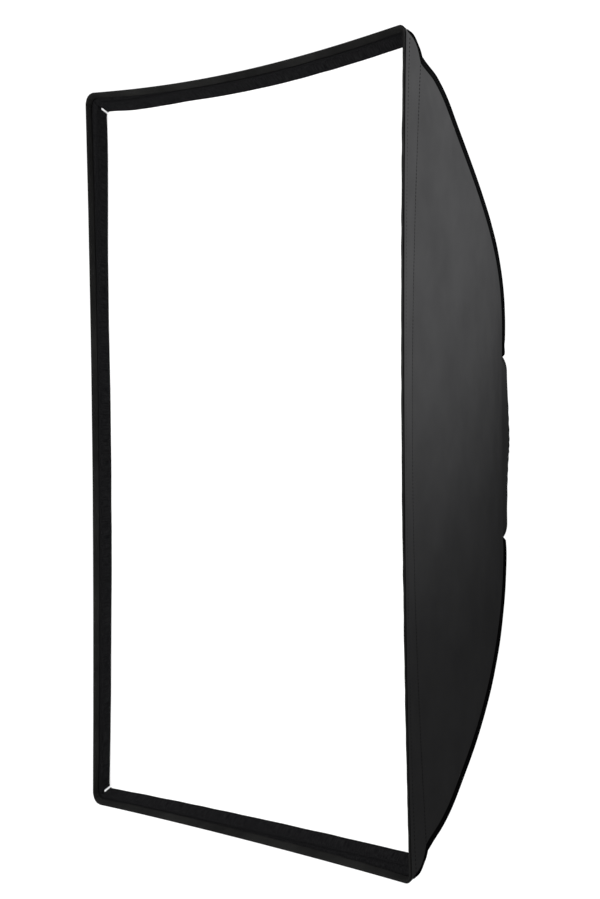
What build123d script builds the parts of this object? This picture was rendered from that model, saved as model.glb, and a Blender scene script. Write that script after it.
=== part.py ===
"""Rectangular 80 x 120 cm softbox on a rotating three-lug bayonet ring.

Four sprung rods plug into sockets in the ring's rim and bow out to the front corners.
They stretch four fabric panels, a flared lip, a front diffuser and an inner baffle.

Frame: origin at the centre of the bayonet's seating face, +Y back towards the light,
the front opening faces -Y, +X to the right seen from the front, +Z up. Millimetres.
"""
import math
import os

from build123d import *

os.makedirs("parts", exist_ok=True)

# ---- driving dimensions --------------------------------------------------------------
FRONT_W, FRONT_H = 800.0, 1200.0    # outside of the front hem
FRONT_Y = -510.0                    # plane of the front edge
LIP_DEPTH = 52.0                    # front edge to the seam between lip and panels
SEAM_Y = FRONT_Y + LIP_DEPTH
RIDGE_TIP_X, RIDGE_TIP_Z = 380.0, 560.0   # corner ridge where it meets the seam plane
RIDGE_CHORD_R, RIDGE_CHORD_Y = 85.0, 28.0   # where the long arc would end without its bend
RIDGE_BOW = 50.0                    # how far the long arc bows out from a straight line
BEND_ANGLE, BEND_R = 30.0, 307.0    # near the ring the ridge bends more tightly, below this angle
SOCKET_ANGLE = 10.5                 # the rods leave the ring this far forward of its plane
REAR_ANGLE = 25.0                   # the panels end here, at the rear opening
FABRIC = 1.2
BINDING_T = 2.4                     # folded tape along each corner seam
RIDGE_TO_SKIN, BINDING_IN = 6.0, 3.0      # how far the tape stands out of the fabric, and in
SKIN_TO_ROD = 11.0                  # outside of the fabric to the rod's axis

ROD_R = 2.25
ROD_TIP_BACK = 17.0                 # the rod ends this far behind the seam, in its cap
FERRULE_R, FERRULE_L, FERRULE_OUT = 4.0, 33.0, 8.0
SOCKET_WALL, SOCKET_HALF_W = 7.0, 12.5
SOCKET_IN_R, SOCKET_OUT_R = 76.5, 96.0
SOCKET_REAR_Y, SOCKET_FRONT_Y = -5.0, -21.5
SOCKET_SCREW_R, SOCKET_SCREW_HEAD_R, SOCKET_SCREW_L = 2.0, 3.8, 15.0
SOCKET_SCREW_RHO, SOCKET_SCREW_OFF = 81.0, 8.6
TIP_R, TIP_L = 3.2, 12.0
POCKET_R, POCKET_BACK, POCKET_END = 5.4, 10.0, 2.5
FREE_FIT = 0.1                      # between a pushed-in piece and what it sits in

APERTURE_R = 49.0                   # clear hole for the lamp tube
INSERT_R, INSERT_T = 72.0, 8.0
GROOVE_DEPTH, GROOVE_W, GROOVE_Y = 2.0, 4.6, -4.5
RING_R, RING_REAR_Y, RING_FRONT_Y = 86.0, -0.8, -20.0
RING_LIP_R, RING_LIP_T, RING_SKIRT_R, RING_EDGE = 65.0, 3.0, 74.0, 1.0
SLIDE_GAP = 0.3                     # insert in its seat, diffuser in the lip
SCREW_R, SCREW_HOLE_R, DOG_R = 2.5, 2.58, 1.9
DOG_TIP_R, DOG_END_R = 70.5, 73.5   # radii where the screw's reduced tip starts and ends
GRUB_END_R = 84.0
SLOT_PCD_R, SLOT_L, SLOT_W = 60.8, 26.0, 6.0
TICK_COUNT, TICK_STEP = 9, 5.0      # a scale of short cuts at the top and the bottom of the ring
TICK_IN_R, TICK_OUT_R, TICK_W, TICK_DEPTH = 80.0, 84.0, 0.8, 0.4
LUG_COUNT, LUG_ANGLE = 3, 20.0
LUG_IN_R, LUG_STEM_R, LUG_FOOT_R = 49.6, 52.4, 56.5
LUG_H, LUG_FOOT_T = 8.4, 2.2

KNOB_R, KNOB_START, KNOB_END = 8.5, 93.5, 107.5
KNOB_NECK_R, KNOB_NECK_START = 5.5, 90.2
SHANK_END, KNOB_BORE_END, KNOB_BORE_R = 102.5, 102.8, 2.56
KNOB_FLUTES, FLUTE_R = 9, 1.5

HEM_DEPTH, HEM_OUT, HEM_IN = 8.5, 1.2, 2.4
TAPE_T = 1.5
DIFFUSER_DEPTH, DIFFUSER_T = 27.0, 1.0
MITRE_GAP = 5.0                     # the diffuser's tapes stop short of each other by this
BAFFLE_Y, BAFFLE_T = -252.0, 1.0
BAFFLE_R = 413.0                    # centre to corner, on the diagonal
BAFFLE_HEM_W, BAFFLE_HEM_T = 14.0, 0.9
STRAP_W, STRAP_T = 18.0, 1.2
STRAP_START_R, STRAP_END_R = 381.0, 465.5
SNAP_R, SNAP_T, SNAP_RHO = 5.5, 1.8, 397.0
KEEPER_R, KEEPER_W = 4.2, 22.0
KEEPER_SHARES = (0.45, 0.9)         # where the plain keepers sit, as shares of the rod's turn
COLLAR_Y, COLLAR_CORNER = -13.2, 26.0
COLLAR_MID_Y, COLLAR_MID_W, COLLAR_MID_H, COLLAR_MID_CORNER = -14.4, 196.0, 248.0, 66.0
ELASTIC_W = 4.6
SOCKET_ROOM_L = 40.0

# ---- shape worked out from them ------------------------------------------------------
DIAGONAL = math.atan2(RIDGE_TIP_Z, RIDGE_TIP_X)
K_TOP, K_SIDE = math.sin(DIAGONAL), math.cos(DIAGONAL)
TIP_RHO = math.hypot(RIDGE_TIP_X, RIDGE_TIP_Z)
chord_rho, chord_y = TIP_RHO - RIDGE_CHORD_R, SEAM_Y - RIDGE_CHORD_Y
CHORD = math.hypot(chord_rho, chord_y)
RIDGE_RADIUS = (CHORD**2 / 4 + RIDGE_BOW**2) / (2 * RIDGE_BOW)
back_off = (RIDGE_RADIUS - RIDGE_BOW) / CHORD
ARC_RHO = (TIP_RHO + RIDGE_CHORD_R) / 2 + chord_y * back_off
ARC_Y = (SEAM_Y + RIDGE_CHORD_Y) / 2 - chord_rho * back_off
BEND_RHO = ARC_RHO + (RIDGE_RADIUS - BEND_R) * math.sin(math.radians(BEND_ANGLE))
BEND_Y = ARC_Y + (RIDGE_RADIUS - BEND_R) * math.cos(math.radians(BEND_ANGLE))
SKIN, ROD = RIDGE_TO_SKIN, RIDGE_TO_SKIN + SKIN_TO_ROD    # insets from the ridge

UPRIGHT = (Align.CENTER, Align.CENTER, Align.MIN)
HANGING = (Align.CENTER, Align.CENTER, Align.MAX)
CORNERS = {
    "upper_right": (1, 1),
    "lower_right": (1, -1),
    "lower_left": (-1, -1),
    "upper_left": (-1, 1),
}


def place(inset, angle):
    """(y, rho) on the curve this far inside the ridge, at an angle from +Y to the radial."""
    long_arc = angle >= BEND_ANGLE
    centre_y, centre_rho = (ARC_Y, ARC_RHO) if long_arc else (BEND_Y, BEND_RHO)
    radius = (RIDGE_RADIUS if long_arc else BEND_R) - inset
    a = math.radians(angle)
    return centre_y + radius * math.cos(a), centre_rho + radius * math.sin(a)


def angle_at_y(inset, y):
    """The angle at which the long arc, this far inside the ridge, has a depth y."""
    return math.degrees(math.acos((y - ARC_Y) / (RIDGE_RADIUS - inset)))


def corner_plane(sx, sz):
    """The plane through the axis and one corner: local x is +Y, local y is outwards."""
    return Plane(
        origin=(0, 0, 0),
        x_dir=(0, 1, 0),
        z_dir=(sz * K_TOP, 0, -sx * K_SIDE),
    )


def save(builder, label):
    builder.part.label = label
    export_step(builder.part, f"parts/{label}.step")


def ridge_arcs(inset, rear, front, scale=1.0):
    """The bend and the long arc of a corner curve, squeezed outwards by scale, as two edges."""
    bend, long_arc = BEND_R - inset, RIDGE_RADIUS - inset
    return (
        EllipticalCenterArc(
            (BEND_Y, scale * BEND_RHO), bend, scale * bend, rear, arc_size=BEND_ANGLE - rear
        ),
        EllipticalCenterArc(
            (ARC_Y, scale * ARC_RHO),
            long_arc,
            scale * long_arc,
            BEND_ANGLE,
            arc_size=front - BEND_ANGLE,
        ),
    )


def band(plane, outer, inner, rear, front, scale=1.0):
    """A thin face between two curves inside the ridge."""
    with BuildSketch(plane) as face:
        with BuildLine():
            far_bend, far_arc = ridge_arcs(outer, rear, front, scale)
            near_bend, near_arc = ridge_arcs(inner, rear, front, scale)
            Line(far_bend @ 0, near_bend @ 0)
            Line(far_arc @ 1, near_arc @ 1)
        make_face()
    return face.sketch


# ---- bayonet insert, the piece that the light holds ----------------------------------
def build_bayonet():
    with BuildPart() as insert:
        with BuildSketch(Plane.XZ):
            Circle(INSERT_R)
            Circle(APERTURE_R, mode=Mode.SUBTRACT)
        extrude(amount=INSERT_T)
        with BuildSketch(Plane.XZ.offset(-GROOVE_Y - GROOVE_W / 2)):
            Circle(INSERT_R + 1)
            Circle(INSERT_R - GROOVE_DEPTH, mode=Mode.SUBTRACT)
        extrude(amount=GROOVE_W, mode=Mode.SUBTRACT)
        with BuildSketch(Plane.XZ):
            with PolarLocations(SLOT_PCD_R, LUG_COUNT, start_angle=30):
                SlotOverall(SLOT_L, SLOT_W, rotation=90)
        extrude(amount=INSERT_T, mode=Mode.SUBTRACT)
        rear_rims = insert.edges().group_by(Axis.Y)[-1]
        bore_rim = rear_rims.filter_by(GeomType.CIRCLE).filter_by(
            lambda rim: abs(rim.radius - APERTURE_R) < FREE_FIT
        )
        chamfer(rear_rims - bore_rim, 0.5)
    save(insert, "bayonet_insert")

    with BuildPart() as lugs:
        half = math.radians(LUG_ANGLE / 2)
        for index in range(LUG_COUNT):
            middle = math.radians(90 + index * 360 / LUG_COUNT)
            for outer, low, high in (
                (LUG_STEM_R, 0.0, LUG_H),
                (LUG_FOOT_R, LUG_H - LUG_FOOT_T, LUG_H),
            ):
                with BuildSketch(Plane.XZ.offset(-high)):
                    with BuildLine():
                        rim = CenterArc((0, 0), outer, math.degrees(middle - half), LUG_ANGLE)
                        bore = CenterArc((0, 0), LUG_IN_R, math.degrees(middle - half), LUG_ANGLE)
                        Line(rim @ 0, bore @ 0)
                        Line(rim @ 1, bore @ 1)
                    make_face()
                extrude(amount=high - low)
    save(lugs, "bayonet_lugs")


# ---- speedring, screws and knobs -----------------------------------------------------
def build_ring():
    seat_y = -INSERT_T - SLIDE_GAP
    with BuildPart() as ring:
        with BuildSketch(Plane.XZ.offset(-RING_REAR_Y)):
            Circle(RING_R)
            Circle(RING_LIP_R, mode=Mode.SUBTRACT)
        extrude(amount=RING_REAR_Y - RING_FRONT_Y)
        chamfer(ring.edges().filter_by(GeomType.CIRCLE).group_by(SortBy.RADIUS)[-1], RING_EDGE)
        with BuildSketch(Plane.XZ.offset(-RING_REAR_Y)):
            Circle(INSERT_R + SLIDE_GAP)
        extrude(amount=RING_REAR_Y - seat_y, mode=Mode.SUBTRACT)
        with BuildSketch(Plane.XZ.offset(-seat_y + RING_LIP_T)):
            Circle(RING_SKIRT_R)
        extrude(amount=-RING_FRONT_Y, mode=Mode.SUBTRACT)
        for sx, sz in CORNERS.values():
            with BuildSketch(corner_plane(sx, sz)):
                with BuildLine():
                    Polyline(
                        (SOCKET_REAR_Y, SOCKET_IN_R),
                        (SOCKET_REAR_Y, RING_R + 1),
                        (SOCKET_FRONT_Y, RING_R + 1),
                        (SOCKET_FRONT_Y, SOCKET_IN_R),
                        close=True,
                    )
                make_face()
            extrude(amount=SOCKET_HALF_W, both=True, mode=Mode.SUBTRACT)
        for turn in (90, -90):
            with BuildSketch(Plane.XZ.offset(-RING_REAR_Y)):
                with PolarLocations(
                    (TICK_IN_R + TICK_OUT_R) / 2,
                    TICK_COUNT,
                    start_angle=turn - TICK_STEP * (TICK_COUNT - 1) / 2,
                    angular_range=TICK_STEP * TICK_COUNT,
                ):
                    Rectangle(TICK_OUT_R - TICK_IN_R, TICK_W)
            extrude(amount=TICK_DEPTH, mode=Mode.SUBTRACT)
        with BuildSketch(Plane.XY):
            with Locations((0, GROOVE_Y)):
                Circle(SCREW_HOLE_R)
        extrude(amount=RING_R + 1, both=True, mode=Mode.SUBTRACT)
        with BuildSketch(Plane.YZ):
            with Locations((GROOVE_Y, 0)):
                Circle(SCREW_R)
        extrude(amount=RING_R + 1, both=True, mode=Mode.SUBTRACT)
        for sx, sz in CORNERS.values():
            for side in (-1, 1):
                with Locations(screw_place(sx, sz, side)):
                    CounterSinkHole(
                        SOCKET_SCREW_R,
                        SOCKET_SCREW_HEAD_R,
                        RING_REAR_Y - SOCKET_REAR_Y,
                        counter_sink_angle=90,
                    )
    save(ring, "speedring")


def screw_place(sx, sz, side):
    """Where a socket screw's head sits on the ring's rear face, looking to the front."""
    x = sx * (K_SIDE * SOCKET_SCREW_RHO + side * K_TOP * SOCKET_SCREW_OFF)
    z = sz * (K_TOP * SOCKET_SCREW_RHO - side * K_SIDE * SOCKET_SCREW_OFF)
    return Plane(origin=(x, RING_REAR_Y, z), z_dir=(0, 1, 0)).location


def build_fasteners():
    head_h = SOCKET_SCREW_HEAD_R - SOCKET_SCREW_R
    with BuildPart() as screws:
        for sx, sz in CORNERS.values():
            for side in (-1, 1):
                with Locations(screw_place(sx, sz, side)):
                    Cylinder(SOCKET_SCREW_R, SOCKET_SCREW_L, align=HANGING)
                    Cone(SOCKET_SCREW_R, SOCKET_SCREW_HEAD_R, head_h, align=HANGING)
    save(screws, "socket_screws")

    with BuildPart() as grubs:
        for turn in (1, -1):
            with Locations(Plane(origin=(0, GROOVE_Y, 0), z_dir=(turn, 0, 0)).location):
                with Locations((0, 0, DOG_TIP_R)):
                    Cylinder(DOG_R, DOG_END_R - DOG_TIP_R, align=UPRIGHT)
                with Locations((0, 0, DOG_END_R)):
                    Cylinder(SCREW_R, GRUB_END_R - DOG_END_R, align=UPRIGHT)
    save(grubs, "retaining_screws")


def build_lock(side, turn):
    """A thumb screw through the ring's wall: a shank with a dog point, and its knob."""
    across = Plane(origin=(0, GROOVE_Y, 0), x_dir=(0, 1, 0), z_dir=(0, 0, turn))
    with BuildPart() as shank:
        with BuildSketch(across.offset(DOG_TIP_R)):
            Circle(DOG_R)
        extrude(amount=DOG_END_R - DOG_TIP_R)
        with BuildSketch(across.offset(DOG_END_R)):
            Circle(SCREW_R)
        extrude(amount=SHANK_END - DOG_END_R)
    save(shank, f"lock_screw_{side}")

    with BuildPart() as knob:
        with BuildSketch(across.offset(KNOB_START)):
            Circle(KNOB_R)
        extrude(amount=KNOB_END - KNOB_START)
        chamfer(knob.edges().filter_by(GeomType.CIRCLE), 1.2)
        with BuildSketch(across.offset(KNOB_START)):
            with PolarLocations(KNOB_R + 0.4, KNOB_FLUTES):
                Circle(FLUTE_R)
        extrude(amount=KNOB_END - KNOB_START, mode=Mode.SUBTRACT)
        with BuildSketch(across.offset(KNOB_NECK_START)):
            Circle(KNOB_NECK_R)
        extrude(amount=KNOB_START - KNOB_NECK_START)
        with BuildSketch(across.offset(KNOB_NECK_START)):
            Circle(KNOB_BORE_R)
        extrude(amount=KNOB_BORE_END - KNOB_NECK_START, mode=Mode.SUBTRACT)
    save(knob, f"lock_knob_{side}")


# ---- rods and what holds them --------------------------------------------------------
ROD_END = angle_at_y(ROD, SEAM_Y + ROD_TIP_BACK)


def rod_point(angle):
    """(y, rho) of a point on the rod's axis, and the way it runs towards the front."""
    a = math.radians(angle)
    return place(ROD, angle), (-math.sin(a), math.cos(a))


def beside(point, run, ahead, out):
    """(y, rho) of a place ahead of a point along its run, and out from it."""
    return (point[0] + ahead * run[0] + out * run[1], point[1] + ahead * run[1] - out * run[0])


def along(plane, point, run):
    """A sketch plane across a line in a corner plane."""
    start = plane.from_local_coords(Vector(*point, 0))
    ahead = plane.from_local_coords(Vector(point[0] + run[0], point[1] + run[1], 0))
    return Plane(origin=start, z_dir=ahead - start, x_dir=plane.z_dir)


def build_rod(name, plane):
    (base, out), (tip, on) = rod_point(SOCKET_ANGLE), rod_point(ROD_END)
    with BuildPart() as rod:
        with BuildLine(plane):
            ridge_arcs(ROD, SOCKET_ANGLE, ROD_END)
        with BuildSketch(along(plane, base, out)):
            Circle(ROD_R)
        sweep()
    save(rod, f"rod_{name}")

    with BuildPart() as ferrule:
        with BuildSketch(along(plane, base, out)):
            Circle(FERRULE_R)
        extrude(amount=-FERRULE_L)
        chamfer(ferrule.edges().filter_by(GeomType.CIRCLE), 0.6)
    save(ferrule, f"rod_ferrule_{name}")

    with BuildPart() as cap:
        with BuildSketch(along(plane, tip, on)):
            Circle(TIP_R)
        extrude(amount=TIP_L)
        fillet(cap.edges().filter_by(GeomType.CIRCLE).sort_by(Axis.Y)[0], TIP_R * 0.8)
    save(cap, f"rod_tip_{name}")

    rear = along(plane, tip, on).offset(-POCKET_BACK)
    with BuildPart() as pocket:
        with BuildSketch(rear):
            Circle(POCKET_R)
        extrude(amount=POCKET_BACK + TIP_L + POCKET_END)
        with BuildSketch(rear):
            Circle(TIP_R + FREE_FIT)
        extrude(amount=POCKET_BACK + TIP_L, mode=Mode.SUBTRACT)
    save(pocket, f"corner_pocket_{name}")


def build_socket(name, plane):
    """A block let into the ring's rim, with a slanted bore that takes the rod's ferrule."""
    base, run = rod_point(SOCKET_ANGLE)
    with BuildPart() as socket:
        with BuildSketch(plane):
            with BuildLine():
                Polyline(
                    (SOCKET_REAR_Y, SOCKET_IN_R),
                    (SOCKET_REAR_Y, SOCKET_OUT_R),
                    beside(base, run, -FERRULE_OUT, SOCKET_WALL),
                    beside(base, run, -FERRULE_OUT, -SOCKET_WALL),
                    (SOCKET_FRONT_Y, SOCKET_IN_R),
                    close=True,
                )
            make_face()
            fillet(vertices().sort_by(Axis.Y)[-3:], 1.5)
        extrude(amount=SOCKET_HALF_W, both=True)
        with BuildSketch(along(plane, base, run)):
            Circle(FERRULE_R)
        extrude(amount=-FERRULE_L, mode=Mode.SUBTRACT)
        for side in (-1, 1):
            with Locations(screw_place(*CORNERS[name], side)):
                Cylinder(SOCKET_SCREW_R, SOCKET_SCREW_L, align=HANGING, mode=Mode.SUBTRACT)
    save(socket, f"rod_socket_{name}")


def build_keepers():
    """Fabric loops that hold each rod to its corner seam; the middle ones take the straps."""
    strap_angle = angle_at_y(ROD, BAFFLE_Y)
    with BuildPart() as keepers:
        for sx, sz in CORNERS.values():
            plane = corner_plane(sx, sz)
            angles = [SOCKET_ANGLE + share * (ROD_END - SOCKET_ANGLE) for share in KEEPER_SHARES]
            for angle in [*angles, strap_angle]:
                point, run = rod_point(angle)
                across = along(plane, point, run)
                with BuildSketch(across.offset(-KEEPER_W / 2)):
                    Circle(KEEPER_R)
                    Circle(ROD_R + 0.4, mode=Mode.SUBTRACT)
                extrude(amount=KEEPER_W)
    save(keepers, "rod_keeper_loops")


# ---- fabric --------------------------------------------------------------------------
REAR_Y, REAR_R = place(SKIN, REAR_ANGLE)


def build_panels():
    front, rear = angle_at_y(SKIN, SEAM_Y) + 1.5, REAR_ANGLE - 2.0
    side_plane = Plane(origin=(0, 0, 0), x_dir=(0, 1, 0), z_dir=(0, 0, -1))
    for names, plane, scale in (
        (("panel_top", "panel_bottom"), Plane.YZ, K_TOP),
        (("panel_right", "panel_left"), side_plane, K_SIDE),
    ):
        upright = scale == K_TOP
        outward = Vector(0, 0, 1) if upright else Vector(1, 0, 0)
        across = Vector(1, 0, 0) if upright else Vector(0, 0, 1)
        other = K_SIDE if upright else K_TOP
        with BuildPart() as panel:
            profile = band(plane, SKIN, SKIN + FABRIC, rear, front, scale)
            extrude(profile, amount=max(FRONT_W, FRONT_H), both=True)
            split(bisect_by=Plane(origin=(0, SEAM_Y, 0), z_dir=(0, 1, 0)), keep=Keep.TOP)
            split(bisect_by=Plane(origin=outward * (scale * REAR_R), z_dir=outward), keep=Keep.TOP)
            for turn in (1, -1):
                inward = outward * other - across * (turn * scale)
                split(bisect_by=Plane(origin=inward * (BINDING_T / 2), z_dir=inward), keep=Keep.TOP)
        save(panel, names[0])
        with BuildPart() as twin:
            mirror(panel.part, about=Plane.XY if upright else Plane.YZ)
        save(twin, names[1])


def build_binding(name, plane):
    """Folded tape along a corner seam, standing proud of the fabric."""
    with BuildPart() as tape:
        front = angle_at_y(0, SEAM_Y) + 1.0
        profile = band(plane, 0, SKIN + BINDING_IN, REAR_ANGLE, front)
        extrude(profile, amount=BINDING_T / 2, both=True)
        split(bisect_by=Plane(origin=(0, SEAM_Y, 0), z_dir=(0, 1, 0)), keep=Keep.TOP)
    save(tape, f"seam_binding_{name}")


SEAM_RHO = place(SKIN, angle_at_y(SKIN, SEAM_Y))[1]
SEAM_X, SEAM_Z = SEAM_RHO * K_SIDE, SEAM_RHO * K_TOP


def lip_half(y):
    """Half width and half height of the lip's outer face at a depth y."""
    share = (SEAM_Y - y) / LIP_DEPTH
    return (
        SEAM_X + share * (FRONT_W / 2 - HEM_OUT - SEAM_X),
        SEAM_Z + share * (FRONT_H / 2 - HEM_OUT - SEAM_Z),
    )


def strip_corners(side, y, near, far, gap):
    """The four corners, in X and Z, of a mitred strip of one side of the lip at depth y."""
    half_x, half_z = lip_half(y)
    points = [
        (turn * (half_x - off - gap), half_z - off) if side in ("top", "bottom")
        else (half_x - off, turn * (half_z - off - gap))
        for turn, off in ((-1, near), (1, near), (1, far), (-1, far))
    ]
    flip = -1 if side in ("bottom", "left") else 1
    return [(x * flip, z * flip) for x, z in points]


def add_strip(side, rear_y, front_y, near, far, gap=0.0):
    """Lofts one strip from its rear edge to its front edge, into the open part."""
    ends = []
    for y in (rear_y, front_y):
        with BuildSketch(Plane.XZ.offset(-y)) as end:
            with BuildLine():
                Polyline(*strip_corners(side, y, near, far, gap), close=True)
            make_face()
        ends.append(end.sketch)
    loft(ends)


SIDES = ("top", "right", "bottom", "left")
HEM_Y = FRONT_Y + HEM_DEPTH
DIFFUSER_Y = FRONT_Y + DIFFUSER_DEPTH
TAPE_Y, FLANGE_Y = DIFFUSER_Y - 2.0, HEM_Y + 1.0
FLANGE_NEAR = FABRIC + TAPE_T + SLIDE_GAP
FLANGE_FAR = FLANGE_NEAR + DIFFUSER_T


def build_lip():
    for side in SIDES:
        with BuildPart() as lip:
            add_strip(side, SEAM_Y, HEM_Y, 0.0, FABRIC)
        save(lip, f"lip_{side}")
        with BuildPart() as hem:
            add_strip(side, HEM_Y, FRONT_Y, -HEM_OUT, HEM_IN)
        save(hem, f"hem_{side}")
        with BuildPart() as tape:
            add_strip(side, TAPE_Y, FLANGE_Y, FLANGE_FAR, FLANGE_FAR + TAPE_T, MITRE_GAP)
        save(tape, f"diffuser_tape_{side}")
    with BuildPart() as loops:
        for side in SIDES:
            add_strip(side, TAPE_Y, FLANGE_Y, FABRIC, FABRIC + TAPE_T, MITRE_GAP)
    save(loops, "lip_loop_tapes")


def build_diffuser():
    """A cloth tray: a flat face, and a border turned forwards along the lip."""
    with BuildPart() as cloth:
        for side in SIDES:
            add_strip(side, DIFFUSER_Y, FLANGE_Y, FLANGE_NEAR, FLANGE_FAR)
        half_x, half_z = lip_half(DIFFUSER_Y)
        with BuildSketch(Plane.XZ.offset(-DIFFUSER_Y)):
            Rectangle(2 * (half_x - FLANGE_NEAR), 2 * (half_z - FLANGE_NEAR))
        extrude(amount=-DIFFUSER_T)
    save(cloth, "front_diffuser")


def build_baffle():
    half_x, half_z = BAFFLE_R * K_SIDE, BAFFLE_R * K_TOP
    rear = Plane.XZ.offset(-BAFFLE_Y)
    with BuildPart() as baffle:
        with BuildSketch(rear):
            Rectangle(2 * half_x, 2 * half_z)
        extrude(amount=BAFFLE_T)
    save(baffle, "inner_baffle")

    with BuildPart() as hem:
        with BuildSketch(rear.offset(BAFFLE_T)):
            Rectangle(2 * half_x, 2 * half_z)
            Rectangle(2 * (half_x - BAFFLE_HEM_W), 2 * (half_z - BAFFLE_HEM_W), mode=Mode.SUBTRACT)
        extrude(amount=BAFFLE_HEM_T)
    save(hem, "baffle_hem")

    with BuildPart() as straps:
        for sx, sz in CORNERS.values():
            outwards = (sx * K_SIDE, 0, sz * K_TOP)
            strap_plane = Plane(origin=(0, BAFFLE_Y, 0), x_dir=outwards, z_dir=(0, 1, 0))
            with BuildSketch(strap_plane):
                with Locations((STRAP_START_R, 0)):
                    Rectangle(STRAP_END_R - STRAP_START_R, STRAP_W, align=(Align.MIN, Align.CENTER))
            extrude(amount=STRAP_T)
    save(straps, "baffle_straps")

    with BuildPart() as snaps:
        for sx, sz in CORNERS.values():
            with BuildSketch(rear.offset(-STRAP_T - SNAP_T)):
                with Locations((sx * SNAP_RHO * K_SIDE, sz * SNAP_RHO * K_TOP)):
                    Circle(SNAP_R)
            extrude(amount=SNAP_T)
    save(snaps, "baffle_snaps")


def build_collar():
    """Gathered sleeve from the fabric's rear opening down to the speedring."""
    band_r = RING_R + 2 * FABRIC
    with BuildPart() as collar:
        for shrink, mode in ((0.0, Mode.ADD), (FABRIC, Mode.SUBTRACT)):
            with BuildSketch(Plane.XZ.offset(-REAR_Y)) as opening:
                RectangleRounded(
                    2 * (REAR_R * K_SIDE - shrink),
                    2 * (REAR_R * K_TOP - shrink),
                    COLLAR_CORNER - shrink,
                )
            with BuildSketch(Plane.XZ.offset(-COLLAR_MID_Y)) as shoulder:
                RectangleRounded(
                    COLLAR_MID_W - 2 * shrink,
                    COLLAR_MID_H - 2 * shrink,
                    COLLAR_MID_CORNER - shrink,
                )
            with BuildSketch(Plane.XZ.offset(-COLLAR_Y)) as neck:
                Circle(band_r - shrink)
            loft([opening.sketch, shoulder.sketch], mode=mode)
            loft([shoulder.sketch, neck.sketch], mode=mode)
        make_room_for_sockets()
    save(collar, "rear_collar")

    with BuildPart() as elastic:
        with BuildSketch(Plane.XZ.offset(-COLLAR_Y)):
            Circle(band_r)
            Circle(RING_R, mode=Mode.SUBTRACT)
        extrude(amount=-ELASTIC_W)
        make_room_for_sockets()
    save(elastic, "collar_elastic")


def make_room_for_sockets():
    """Cuts the open part back from the four rod sockets, which the cloth goes over."""
    for sx, sz in CORNERS.values():
        with BuildSketch(corner_plane(sx, sz)) as room:
            with Locations(((SOCKET_REAR_Y + SOCKET_FRONT_Y) / 2, RING_R)):
                Rectangle(2 * (SOCKET_REAR_Y - SOCKET_FRONT_Y), SOCKET_ROOM_L)
        extrude(room.sketch, amount=SOCKET_HALF_W + FABRIC, both=True, mode=Mode.SUBTRACT)


build_bayonet()
build_ring()
build_fasteners()
for lock_side, lock_turn in (("top", 1), ("bottom", -1)):
    build_lock(lock_side, lock_turn)
for corner, signs in CORNERS.items():
    build_rod(corner, corner_plane(*signs))
    build_socket(corner, corner_plane(*signs))
    build_binding(corner, corner_plane(*signs))
build_keepers()
build_panels()
build_lip()
build_diffuser()
build_baffle()
build_collar()
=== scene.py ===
"""Strip softbox: cloth, seams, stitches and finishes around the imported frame.

Metres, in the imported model's frame: +Y points back to the lamp, the front faces -Y, +Z is up.
"""
import math

import bpy
from mathutils import Matrix, Vector, noise


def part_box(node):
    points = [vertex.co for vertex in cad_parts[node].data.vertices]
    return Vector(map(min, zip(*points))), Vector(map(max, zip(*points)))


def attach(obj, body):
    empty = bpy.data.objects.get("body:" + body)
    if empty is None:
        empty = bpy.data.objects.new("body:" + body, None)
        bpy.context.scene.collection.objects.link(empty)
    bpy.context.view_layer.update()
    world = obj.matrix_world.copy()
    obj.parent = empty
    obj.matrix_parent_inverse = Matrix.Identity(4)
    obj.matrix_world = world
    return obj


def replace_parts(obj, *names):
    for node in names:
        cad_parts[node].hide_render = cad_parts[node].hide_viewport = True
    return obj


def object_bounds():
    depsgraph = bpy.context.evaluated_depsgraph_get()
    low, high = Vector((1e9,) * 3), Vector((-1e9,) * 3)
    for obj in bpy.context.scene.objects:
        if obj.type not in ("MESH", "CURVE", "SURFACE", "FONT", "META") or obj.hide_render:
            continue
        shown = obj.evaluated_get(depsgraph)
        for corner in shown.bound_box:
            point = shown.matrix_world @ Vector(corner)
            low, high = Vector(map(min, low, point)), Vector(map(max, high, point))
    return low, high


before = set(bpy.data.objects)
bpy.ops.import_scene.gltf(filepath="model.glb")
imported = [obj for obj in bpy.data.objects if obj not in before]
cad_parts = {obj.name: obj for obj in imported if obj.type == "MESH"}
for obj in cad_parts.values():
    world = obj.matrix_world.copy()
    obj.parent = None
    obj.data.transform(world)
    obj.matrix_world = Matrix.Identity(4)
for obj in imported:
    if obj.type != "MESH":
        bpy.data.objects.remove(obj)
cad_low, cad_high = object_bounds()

# ---- driving dimensions, from the frame where it holds them ---------------------------
HEM_OUT = 0.0012                                # the rolled hem stands this far out of the lip
FRONT_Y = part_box("hem_top")[0].y
HEM_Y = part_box("lip_top")[0].y
SEAM_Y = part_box("lip_top")[1].y
FRONT_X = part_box("hem_right")[1].x - HEM_OUT
FRONT_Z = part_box("hem_top")[1].z - HEM_OUT
SEAM_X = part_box("panel_right")[1].x
SEAM_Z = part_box("panel_top")[1].z
TAPE_REAR_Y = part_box("diffuser_tape_top")[1].y
FLANGE_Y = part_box("diffuser_tape_top")[0].y
FACE_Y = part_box("front_diffuser")[1].y - 0.001
BAFFLE_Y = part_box("inner_baffle")[1].y
BAFFLE_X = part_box("inner_baffle")[1].x
BAFFLE_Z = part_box("inner_baffle")[1].z
RING_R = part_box("speedring")[1].x

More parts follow.
